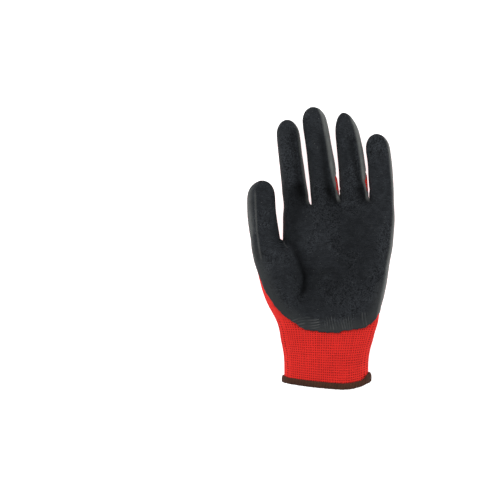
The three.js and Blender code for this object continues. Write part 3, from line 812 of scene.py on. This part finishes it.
# %% Cut the latex from the skin
SNAP = 0.13  # mm: a corner of the mesh this near the edge moves on to it, so no sliver is cut
latex = smooth_copy("latex_coating", 3)
keep_faces(latex, lambda y: y > 0)
bm = bmesh.new()
bm.from_mesh(latex.data)
from_edge = bm.verts.layers.float.new("from_edge")
level, distance_in = {}, {}
for vert in bm.verts:
    level[vert], distance_in[vert] = latex_level(vert.co * 1000 - CENTRING)
edge_verts = [vert for vert, value in level.items() if abs(value) < SNAP]
for vert in edge_verts:
    level[vert] = 0.0
for edge in [e for e in bm.edges if level[e.verts[0]] * level[e.verts[1]] < 0]:
    a, b = edge.verts
    _, vert = bmesh.utils.edge_split(edge, a, level[a] / (level[a] - level[b]))
    edge_verts.append(vert)
    level[vert] = 0.0
    distance_in[vert] = (distance_in[a] + distance_in[b]) / 2
bmesh.ops.connect_verts(bm, verts=edge_verts)
bare = [f for f in bm.faces if sum(level[v] for v in f.verts) <= 0]
bmesh.ops.delete(bm, geom=bare, context="FACES")
for vert in bm.verts:
    vert[from_edge] = max(0.0, distance_in[vert])
bm.to_mesh(latex.data)
bm.free()
print("latex skin faces:", len(latex.data.polygons))

# %% Finer faces where it ripples, then the relief
work_on(latex)
bpy.ops.object.mode_set(mode="EDIT")
bpy.ops.mesh.select_mode(type="FACE")
bpy.ops.mesh.select_all(action="DESELECT")
bm = edit_mesh()
for face in bm.faces:
    spot = (face.calc_center_median() * 1000 - CENTRING).xy
    rippled = face.normal.z > 0.1 and any(in_area(spot, area) > 0.25 for area, _, _ in RIPPLES)
    face.select_set(rippled)
bmesh.update_edit_mesh(latex.data)
bpy.ops.mesh.subdivide(number_cuts=1)
bpy.ops.mesh.select_mode(type="VERT")
bpy.ops.object.mode_set(mode="OBJECT")
press(latex, broad_strokes, fine_strokes, 0.3)
print("latex skin faces with the ripples:", len(latex.data.polygons))

# %% Turn the latex edge down and give it a wall
EDGE_DROP = 0.3
bm = bmesh.new()
bm.from_mesh(latex.data)
rim = [vert for vert in bm.verts if vert.is_boundary]
drops = [vert.normal * EDGE_DROP * 0.001 for vert in rim]
for vert, drop in zip(rim, drops):
    vert.co -= drop
bm.to_mesh(latex.data)
bm.free()
thicken(latex, LATEX_WALL - EDGE_DROP / 3)
print("latex faces:", len(latex.data.polygons))

# %% [markdown]
# ## The overlocked hem
# An overlock machine winds two or three threads round the raw edge of the knit, close together and
# at a slant. The binding is grown as a channel round the hem, loop by loop, and the turns of thread
# are raised on it as slanted ridges, with some that stand a little prouder than others.

# %% The binding's path and section
THREAD_PITCH = 1.25
RIDGE = 0.32
SAMPLES_A_TURN = 7


def hem_line():
    """Points of the knit's outer raw edge, in order."""
    skin = smooth_copy("hem_line", 3)
    move_along_normals(skin, -KNIT_DEPTH)
    keep_faces(skin, lambda y: y < 0)
    bm = bmesh.new()
    bm.from_mesh(skin.data)
    wrist = max(v.co.y for v in bm.verts) - 0.002
    rim = [e for e in bm.edges if e.is_boundary and e.verts[0].co.y < wrist]
    start = max((v for e in rim for v in e.verts), key=lambda v: v.co.x)
    order, here, last = [start], start, None
    while True:
        onward = next(e for e in here.link_edges if e in rim and e is not last)
        here, last = onward.other_vert(here), onward
        if here is start:
            break
        order.append(here)
    points = [v.co * 1000 for v in order]
    bm.free()
    bpy.data.objects.remove(skin)
    return points


raw_edge = hem_line()
area = sum(a.x * b.z - b.x * a.z for a, b in zip(raw_edge, raw_edge[1:] + raw_edge[:1]))
if area < 0:
    raw_edge[1:] = raw_edge[:0:-1]
steps = [(b - a).length for a, b in zip(raw_edge, raw_edge[1:] + raw_edge[:1])]
girth = sum(steps)
turns = round(girth / THREAD_PITCH)
samples = turns * SAMPLES_A_TURN
print("hem girth, mm:", round(girth, 1), "turns of thread:", turns)


def at_length(length):
    """A point of the raw edge and the direction out of it, this far round."""
    length %= girth
    n = 0
    while length > steps[n]:
        length -= steps[n]
        n += 1
    a, b = raw_edge[n], raw_edge[(n + 1) % len(raw_edge)]
    before, after = raw_edge[n - 1], raw_edge[(n + 2) % len(raw_edge)]
    t = length / steps[n]
    tangent = (b - before).lerp(after - a, t)
    return a.lerp(b, t), Vector((tangent.z, 0, -tangent.x)).normalized()


outer, inner = PIECE_GAP + HEM_WALL, -KNIT_WALL - PIECE_GAP - HEM_WALL
low = 0.4 - PIECE_GAP - HEM_WALL
top = HEM_HEIGHT - PIECE_GAP - HEM_WALL
ROUNDING = 1.8


def corner_arc(x, y, side, start):
    """Four points round a corner whose arc has its centre at x, y."""
    angles = [math.radians(start + step) for step in (0, -30, -60, -90)]
    return [(x + side * ROUNDING * math.cos(a), y + ROUNDING * math.sin(a)) for a in angles]


right_top = corner_arc(outer - ROUNDING, top - ROUNDING, 1, 90)
right_foot = corner_arc(outer - ROUNDING, low + ROUNDING, 1, 0)
left_foot = corner_arc(inner + ROUNDING, low + ROUNDING, -1, 0)[::-1]
left_top = corner_arc(inner + ROUNDING, top - ROUNDING, -1, 90)[::-1]
HEM_PROFILE = [(PIECE_GAP, top - 0.6)] + right_top + right_foot + [((outer + inner) / 2, low)]
HEM_PROFILE += left_foot + left_top + [(-KNIT_WALL - PIECE_GAP, top - 0.6)]
HEM_PROFILE += [(-KNIT_WALL - PIECE_GAP, -PIECE_GAP), (PIECE_GAP, -PIECE_GAP)]
THREADED = range(1, len(HEM_PROFILE) - 3)  # the corners of the profile that show, and carry thread

# %% Wind the hem
noise.seed_set(7)  # noise_vector is otherwise drawn anew in each run
stations = [at_length(n * girth / samples) for n in range(samples)]
left_end, right_end = min(p.x for p in raw_edge), max(p.x for p in raw_edge)


def hem_ring(n, distance, height):
    ring = []
    for k, (point, out) in enumerate(stations):
        turn = k / SAMPLES_A_TURN
        round_hem = girth * k / samples
        corner = smooth((point.x - right_end + 7) / 7)
        knob = smooth((left_end + 4 - point.x) / 4)
        crumple = noise.noise_vector(Vector((round_hem / 2.2, 0.35 * n, 9.0))) * (0.15 + 0.75 * corner)
        raised = 0.0
        if n in THREADED:
            which = math.floor(turn + 0.11 * n)
            thread = abs(math.sin(math.pi * (turn + 0.11 * n))) ** 0.6
            proud = 0.75 + 0.5 * noise.noise(Vector((which * 3.7, 0.3 * n, 5.1)))
            raised = RIDGE * (thread * proud - 0.8)
        uneven = 0.35 * noise.noise(Vector((round_hem / 6.0, 0.4 * n, 2.0)))
        spread = 1 + (raised + uneven + 0.4 * corner - 0.3) / 2.4
        place = point + out * (distance * spread if n in THREADED else distance)
        rise = smooth((height - 1.0) / 2.5)
        place.y += height + rise * (3.0 * corner + 0.8 * knob)
        if n in THREADED:
            place += crumple
            place.y -= raised if height < 0 else 0.0
        place.z = max(place.z, 0.0)
        ring.append(place * 0.001)
    return ring


def ring_object(name, points):
    deselect_all()
    bpy.ops.mesh.primitive_circle_add(vertices=len(points), radius=0.04)
    thing = bpy.context.object
    thing.name = thing.data.name = name
    for vert, point in zip(thing.data.vertices, points):
        vert.co = point
    return thing


rings = [hem_ring(n, *corner) for n, corner in enumerate(HEM_PROFILE)]
hem = ring_object("overlocked_hem", rings[0])
bpy.ops.object.mode_set(mode="EDIT")
for points in rings[1:]:
    bpy.ops.mesh.extrude_edges_move()
    bm = edit_mesh()
    for vert, point in zip(bm.verts[-samples:], points):
        vert.co = point
    bmesh.update_edit_mesh(hem.data)
bpy.ops.mesh.select_all(action="DESELECT")
bm = edit_mesh()
for edge in bm.edges:
    if edge.is_boundary:
        edge.select_set(True)
bmesh.update_edit_mesh(hem.data)
bpy.ops.mesh.bridge_edge_loops()
bm = edit_mesh()
layer = bm.loops.layers.uv.verify()
for face in bm.faces:
    turn_numbers = [v.index % samples for v in face.verts]
    crossing = max(turn_numbers) - min(turn_numbers) > 1
    ring_numbers = [v.index // samples for v in face.verts]
    closing = max(ring_numbers) - min(ring_numbers) > 1
    for one in face.loops:
        around = one.vert.index % samples
        ring_number = one.vert.index // samples
        around += samples if crossing and around == 0 else 0
        ring_number += len(rings) if closing and ring_number == 0 else 0
        one[layer].uv = (around / SAMPLES_A_TURN, ring_number)
bpy.ops.mesh.select_all(action="SELECT")
bpy.ops.mesh.normals_make_consistent(inside=False)
bpy.ops.object.mode_set(mode="OBJECT")
bpy.ops.object.shade_smooth()
print("hem faces:", len(hem.data.polygons))

# %% [markdown]
# ## Finishes
# Every finish is built from nodes. The knit and the hem read their own texture coordinates, so the
# stitches follow the fabric round each finger. The latex reads Object coordinates too, because its
# crinkle formed in the bath and doesn't follow the stitches.


# %% Small tools for node finishes
class Finish:
    """A material whose nodes are added and joined in one call each."""

    def __init__(self, name):
        self.material = bpy.data.materials.new(name)
        self.material.use_nodes = True
        self.tree = self.material.node_tree
        self.shader = self.tree.nodes["Principled BSDF"]

    def put(self, socket, value):
        if isinstance(value, bpy.types.NodeSocket):
            self.tree.links.new(value, socket)
        else:
            socket.default_value = value

    def node(self, kind, *values, output=0, settings=None, **named):
        made = self.tree.nodes.new("ShaderNode" + kind)
        for key, value in (settings or {}).items():
            setattr(made, key, value)
        for socket, value in zip(made.inputs, values):
            if value is not None:
                self.put(socket, value)
        for key, value in named.items():
            self.put(made.inputs[key.replace("_", " ")], value)
        return made.outputs[output]

    def math(self, operation, *values, clamp=False):
        return self.node("Math", *values, settings={"operation": operation, "use_clamp": clamp})

    def noise(self, place, scale, detail=2.0, roughness=0.5):
        return self.node("TexNoise", Vector=place, Scale=scale, Detail=detail, Roughness=roughness)

    def ramp(self, value, low, high, start=0.0, end=1.0):
        """Value spread from low..high to start..end, with soft ends."""
        made = self.tree.nodes.new("ShaderNodeMapRange")
        made.interpolation_type = "SMOOTHSTEP"
        for socket, number in zip(made.inputs, (value, low, high, start, end)):
            self.put(socket, number)
        return made.outputs[0]

    def mix(self, share, a, b):
        made = self.tree.nodes.new("ShaderNodeMix")
        made.data_type = "RGBA"
        for index, value in ((0, share), (6, a), (7, b)):
            self.put(made.inputs[index], value)
        return made.outputs[2]

    def bump(self, height, distance, strength=1.0, normal=None):
        made = self.tree.nodes.new("ShaderNodeBump")
        self.put(made.inputs["Height"], height)
        made.inputs["Distance"].default_value = distance
        made.inputs["Strength"].default_value = strength
        if normal is not None:
            self.put(made.inputs["Normal"], normal)
        return made.outputs[0]

    def finish(self, piece, **sockets):
        for key, value in sockets.items():
            self.put(self.shader.inputs[key.replace("_", " ")], value)
        piece.data.materials.clear()
        piece.data.materials.append(self.material)


def srgb(r, g, b):
    """A colour as a paint program gives it, 0 to 255, in the renderer's linear values."""
    return tuple(c / 12.92 if c <= 0.04045 else ((c + 0.055) / 1.055) ** 2.4 for c in (r / 255, g / 255, b / 255)) + (1.0,)


# %% [markdown]
# ### Red knit
# Plain jersey shows columns of small V stitches. A wale is one unit of the texture's width, and a
# course is 1.25 mm of its length. On the wrist an elastic thread is laid in behind every second
# wale, and shows as a grid of small dark dots 2 mm apart.

# %% Red knit finishes
RED = srgb(226, 44, 37)
DEEP_RED = srgb(84, 0, 4)
WALE = 0.875  # texture units from one column of stitches to the next
COURSE = 0.98  # mm from one row of stitches to the next
DOTS_END = (52.0, 58.0)  # mm from the hem where the elastic stops showing


def knit_finish(name):
    f = Finish(name)
    uv = f.node("TexCoord", output=2)
    place = f.node("TexCoord", output=3)
    xyz = f.tree.nodes.new("ShaderNodeSeparateXYZ")
    f.put(xyz.inputs[0], uv)
    wander = f.math("MULTIPLY", f.math("SUBTRACT", f.noise(place, 90.0, 1.0), 0.5), 0.6)
    wales = f.math("ADD", f.math("DIVIDE", xyz.outputs[0], WALE), wander)
    sway = f.math("MULTIPLY", f.math("SUBTRACT", f.noise(place, 130.0, 1.0), 0.5), 0.5)
    courses = f.math("ADD", f.math("DIVIDE", xyz.outputs[1], COURSE), sway)

    # the two legs of a V lean apart from the middle of their column
    from_middle = f.math("ABSOLUTE", f.math("SUBTRACT", f.math("FRACT", wales), 0.5))
    climb = f.math("SUBTRACT", courses, f.math("MULTIPLY", from_middle, 1.2))
    leg = f.math("POWER", f.math("ABSOLUTE", f.math("SINE", f.math("MULTIPLY", climb, math.pi))), 0.7)
    apart = f.ramp(from_middle, 0.36, 0.5, 1.0, 0.35)
    joined = f.ramp(from_middle, 0.0, 0.1, 0.6, 1.0)
    stitch = f.math("MULTIPLY", f.math("MULTIPLY", leg, apart), joined)
    fibre = f.noise(place, 4200.0, 3.0, 0.7)

    # the elastic shows between every second pair of columns and rows
    column = f.math("COSINE", f.math("MULTIPLY", wales, math.pi))
    row = f.math("COSINE", f.math("MULTIPLY", courses, math.pi))
    dot = f.ramp(f.math("ADD", column, f.math("MULTIPLY", row, 0.9)), 0.45, 1.3)
    strength = f.ramp(f.noise(place, 160.0, 2.0), 0.2, 0.75, 0.55, 1.0)
    elastic = f.ramp(xyz.outputs[1], *DOTS_END, 1.0, 0.0)
    dot = f.math("MULTIPLY", f.math("MULTIPLY", dot, strength), elastic)

    height = f.math("ADD", stitch, f.math("MULTIPLY", fibre, 0.35))
    height = f.math("SUBTRACT", height, f.math("MULTIPLY", dot, 1.3))
    # painted shade between the stitches' legs and rows; the dots are the elastic's own darker colour, the patches
    # random tone
    shade = f.math("MULTIPLY", f.math("SUBTRACT", 1.0, stitch), 0.42)
    shade = f.math("ADD", f.math("MULTIPLY", shade, f.math("SUBTRACT", 1.0, dot)), f.math("MULTIPLY", dot, 0.95))
    patches = f.noise(place, 60.0, 3.0)
    shade = f.math("ADD", shade, f.math("MULTIPLY", f.math("SUBTRACT", patches, 0.5), 0.2), clamp=True)
    colour = f.mix(shade, RED, DEEP_RED)
    normal = f.bump(height, 0.00035, 0.8)
    return f, dict(Base_Color=colour, Roughness=0.9, Specular_IOR_Level=0.15, Normal=normal)


for piece, name in ((knit_hand, "red_jersey"), (knit_cuff, "red_elastic_knit")):
    finish, sockets = knit_finish(name)
    finish.finish(piece, **sockets)
    print(name, "nodes:", len(finish.tree.nodes))

# %% [markdown]
# ### Brown overlock thread
# The turns of thread are real ridges, so the finish only adds the twist of the yarn, its fluff,
# and painted shade between the turns.

# %% Brown thread finish
f = Finish("brown_overlock_thread")
uv = f.node("TexCoord", output=2)
place = f.node("TexCoord", output=3)
xyz = f.tree.nodes.new("ShaderNodeSeparateXYZ")
f.put(xyz.inputs[0], uv)
turn = f.math("ADD", xyz.outputs[0], f.math("MULTIPLY", xyz.outputs[1], 0.11))
on_thread = f.math("ABSOLUTE", f.math("SINE", f.math("MULTIPLY", turn, math.pi)))
twist = f.math("SINE", f.math("ADD", f.math("MULTIPLY", xyz.outputs[1], 9.0), f.math("MULTIPLY", turn, 12.0)))
fluff = f.noise(place, 3000.0, 4.0, 0.7)
patches = f.noise(place, 120.0, 2.0)
# painted shade between the turns of thread, with random patches of tone
light = f.math("ADD", f.math("MULTIPLY", on_thread, 0.7), f.math("MULTIPLY", f.math("SUBTRACT", patches, 0.5), 0.6), clamp=True)
colour = f.mix(light, srgb(30, 14, 8), srgb(80, 48, 31))
height = f.math("ADD", f.math("MULTIPLY", twist, 0.3), fluff)
f.finish(hem, Base_Color=colour, Roughness=0.85, Specular_IOR_Level=0.2, Normal=f.bump(height, 0.0002, 0.6))

# %% [markdown]
# ### Black crinkled latex
# Latex that is washed before it cures shrinks into fine wrinkles, one to two millimetres apart,
# a little longer across the hand than along it. They are too fine for the mesh, so they are relief in
# the finish: warped waves broken up by noise, over a softer unevenness. The crests are smoother than
# the hollows, and the colour is painted darker in the hollows as shade.

# %% Black latex finish
SHADE_BLACK = srgb(3, 4, 5)
CREST_BLACK = srgb(51, 54, 58)
EDGE_GREY = srgb(45, 47, 48)
FLANK_REFLECTION_GREY = srgb(103, 105, 103)
HIGHLIGHT_GREY = srgb(104, 106, 104)
LATEX_COURSE = 1.05  # mm from one raised zigzag row to the next
f = Finish("black_crinkled_latex")
place = f.node("TexCoord", output=3)
uv = f.node("TexCoord", output=2)
from_edge = f.node("Attribute", settings={"attribute_name": "from_edge"}, output=2)
flank = f.node("Attribute", settings={"attribute_name": "flank"}, output=2)
# the raised ridges' height, which takes a painted highlight, and the amount of painted shade
crest = f.node("Attribute", settings={"attribute_name": "crest"}, output=2)
painted_shade = f.node("Attribute", settings={"attribute_name": "painted_shade"}, output=2)
fine = f.noise(place, 2600.0, 3.0, 0.6)
soft = f.math("SUBTRACT", f.noise(place, 220.0), 0.5)

# the knit's zigzag rows, raised through the latex
xyz = f.tree.nodes.new("ShaderNodeSeparateXYZ")
f.put(xyz.inputs[0], uv)
zigzag = f.math("ABSOLUTE", f.math("SUBTRACT", f.math("FRACT", f.math("DIVIDE", xyz.outputs[0], WALE)), 0.5))
wobble = f.math("MULTIPLY", f.math("SUBTRACT", f.noise(place, 420.0, 2.0), 0.5), 1.3)
rows = f.math("ADD", f.math("DIVIDE", xyz.outputs[1], LATEX_COURSE), f.math("ADD", f.math("MULTIPLY", zigzag, 0.9), wobble))
rows = f.math("POWER", f.math("ABSOLUTE", f.math("SINE", f.math("MULTIPLY", rows, math.pi))), 0.6)

# the crinkle of the cure, in winding folds
warp = f.node("TexNoise", Vector=place, Scale=500.0, Detail=2.0, output=1)
centred = f.node("VectorMath", warp, (0.5, 0.5, 0.5), settings={"operation": "SUBTRACT"})
shift = f.node("VectorMath", centred, (0.0016, 0.0016, 0.0016), settings={"operation": "MULTIPLY"})
bent = f.node("VectorMath", place, shift, settings={"operation": "ADD"})
winding = f.math("SUBTRACT", f.noise(bent, 620.0, 2.0, 0.5), 0.5)
folds = f.math("POWER", f.math("ABSOLUTE", f.math("SINE", f.math("MULTIPLY", winding, 13.0))), 0.45)

crinkled = f.ramp(f.noise(place, 34.0, 2.0), 0.44, 0.58)
relief_height = f.math("ADD", f.math("MULTIPLY", rows, f.math("SUBTRACT", 1.0, crinkled)), f.math("MULTIPLY", folds, crinkled))
near_edge = f.ramp(f.math("ADD", from_edge, f.math("MULTIPLY", soft, 5.0)), 2.5, 13.0, 0.9, 0.0)
on_flank = f.ramp(f.math("ADD", flank, f.math("MULTIPLY", soft, 0.12)), 0.05, 0.6)
smoothness = f.math("MAXIMUM", near_edge, on_flank)
height = f.math("MULTIPLY", relief_height, f.math("SUBTRACT", 1.0, f.math("MULTIPLY", smoothness, 0.8)))
height = f.math("ADD", height, f.math("MULTIPLY", fine, 0.35))
drawn_out = f.node("VectorMath", place, (1.0, 0.16, 1.0), settings={"operation": "MULTIPLY"})
streaks = f.noise(drawn_out, 520.0, 4.0, 0.65)
height = f.math("ADD", height, f.math("MULTIPLY", f.math("MULTIPLY", streaks, on_flank), 0.8))

patches = f.ramp(f.noise(place, 170.0, 4.0, 0.7), 0.3, 0.7, 0.62, 1.0)
# painted shade: the crinkle's hollows darker than its crests, with random patches of tone
grain_and_hollow_shade = f.math("MULTIPLY", f.ramp(f.math("ADD", relief_height, f.math("MULTIPLY", f.math("SUBTRACT", fine, 0.5), 0.7)), 0.25, 1.1), patches)
colour = f.mix(grain_and_hollow_shade, SHADE_BLACK, CREST_BLACK)
# painted glints: pale points on the crinkle's crests
crest_glints = f.math("MULTIPLY", f.ramp(f.noise(place, 900.0, 1.0), 0.72, 0.8, 0.0, 0.8), relief_height)
colour = f.mix(crest_glints, colour, HIGHLIGHT_GREY)
# painted shade in the thumb's fold, the palm's hollow, at the finger roots and down the fingers
colour = f.mix(f.math("MULTIPLY", painted_shade, 0.9, clamp=True), colour, SHADE_BLACK)
colour = f.mix(near_edge, colour, EDGE_GREY)
# painted reflection: the flanks paler in colour, over a smoother, streaked latex that the bump also shows
film_and_reflection = f.math("MULTIPLY", on_flank, f.ramp(fine, 0.3, 0.65, 0.7, 1.0))
film_and_reflection = f.math("MULTIPLY", film_and_reflection, f.ramp(streaks, 0.32, 0.62, 0.68, 1.0))
colour = f.mix(film_and_reflection, colour, FLANK_REFLECTION_GREY)
# painted highlight along the raised ridges and ripples, broken up by fine noise
ridge_highlight = f.math("MULTIPLY", f.ramp(crest, 0.12, 0.6, 0.0, 0.75), f.ramp(fine, 0.3, 0.6, 0.5, 1.0))
colour = f.mix(ridge_highlight, colour, HIGHLIGHT_GREY)
roughness = f.ramp(grain_and_hollow_shade, 0.0, 1.0, 0.8, 0.5)
f.finish(latex, Base_Color=colour, Roughness=roughness, Specular_IOR_Level=0.05, Normal=f.bump(height, 0.0004, 1.0))
print("latex nodes:", len(f.tree.nodes))

# %% [markdown]
# ## Floor and light
# The photograph has a white ground with almost no shadow. A pale floor, a broad soft light over the
# hand and two low strips beside it light the flanks of the fingers, and a painted reflection in the latex's colour
# makes their bands paler.

# %% Floor, lights and sky
bpy.ops.mesh.primitive_plane_add(size=4.0, location=(0, 0, 0))
floor = bpy.context.object
floor.name = "floor"
f = Finish("pale_floor")
f.finish(floor, Base_Color=(0.6, 0.6, 0.6, 1.0), Roughness=0.9, Specular_IOR_Level=0.1)
f.finish(floor, Emission_Color=(1.0, 1.0, 1.0, 1.0), Emission_Strength=0.9)


def soft_light(name, location, size, power, aim=(0, 0, 0)):
    data = bpy.data.lights.new(name, "AREA")
    data.shape = "RECTANGLE"
    data.size, data.size_y = size
    data.energy = power
    lamp = bpy.data.objects.new(name, data)
    lamp.location = location
    lamp.rotation_euler = (Vector(aim) - Vector(location)).to_track_quat("-Z", "Y").to_euler()
    bpy.context.collection.objects.link(lamp)
    return lamp


soft_light("upper_softbox", (-0.2, 1.2, 1.45), (2.2, 0.9), 26)
soft_light("right_softbox", (1.4, -0.5, 0.5), (0.6, 1.6), 17)
soft_light("left_softbox", (-1.35, 0.55, 0.9), (0.8, 1.6), 21)
world = bpy.data.worlds.new("studio")
bpy.context.scene.world = world
world.use_nodes = True
world.node_tree.nodes["Background"].inputs[0].default_value = (1, 1, 1, 1)
world.node_tree.nodes["Background"].inputs[1].default_value = 0.4
bpy.context.scene.view_settings.view_transform = "Standard"

# %% [markdown]
# ## Pieces on the body
# Each piece stands for its CAD node and rides on the part's one body.

# %% Put every piece on the body
bpy.data.objects.remove(cage)
for piece, node, slot in (
    (knit_hand, "knit_shell", "red_knit"),
    (knit_cuff, "knit_wrist", "red_rib"),
    (hem, "hem_overlock", "brown_yarn"),
    (latex, "latex_palm", "black_latex"),
):
    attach(piece, "root")
    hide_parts(node)
    print(piece.name, "triangles:", sum(len(p.vertices) - 2 for p in piece.data.polygons))

bpy.context.view_layer.update()
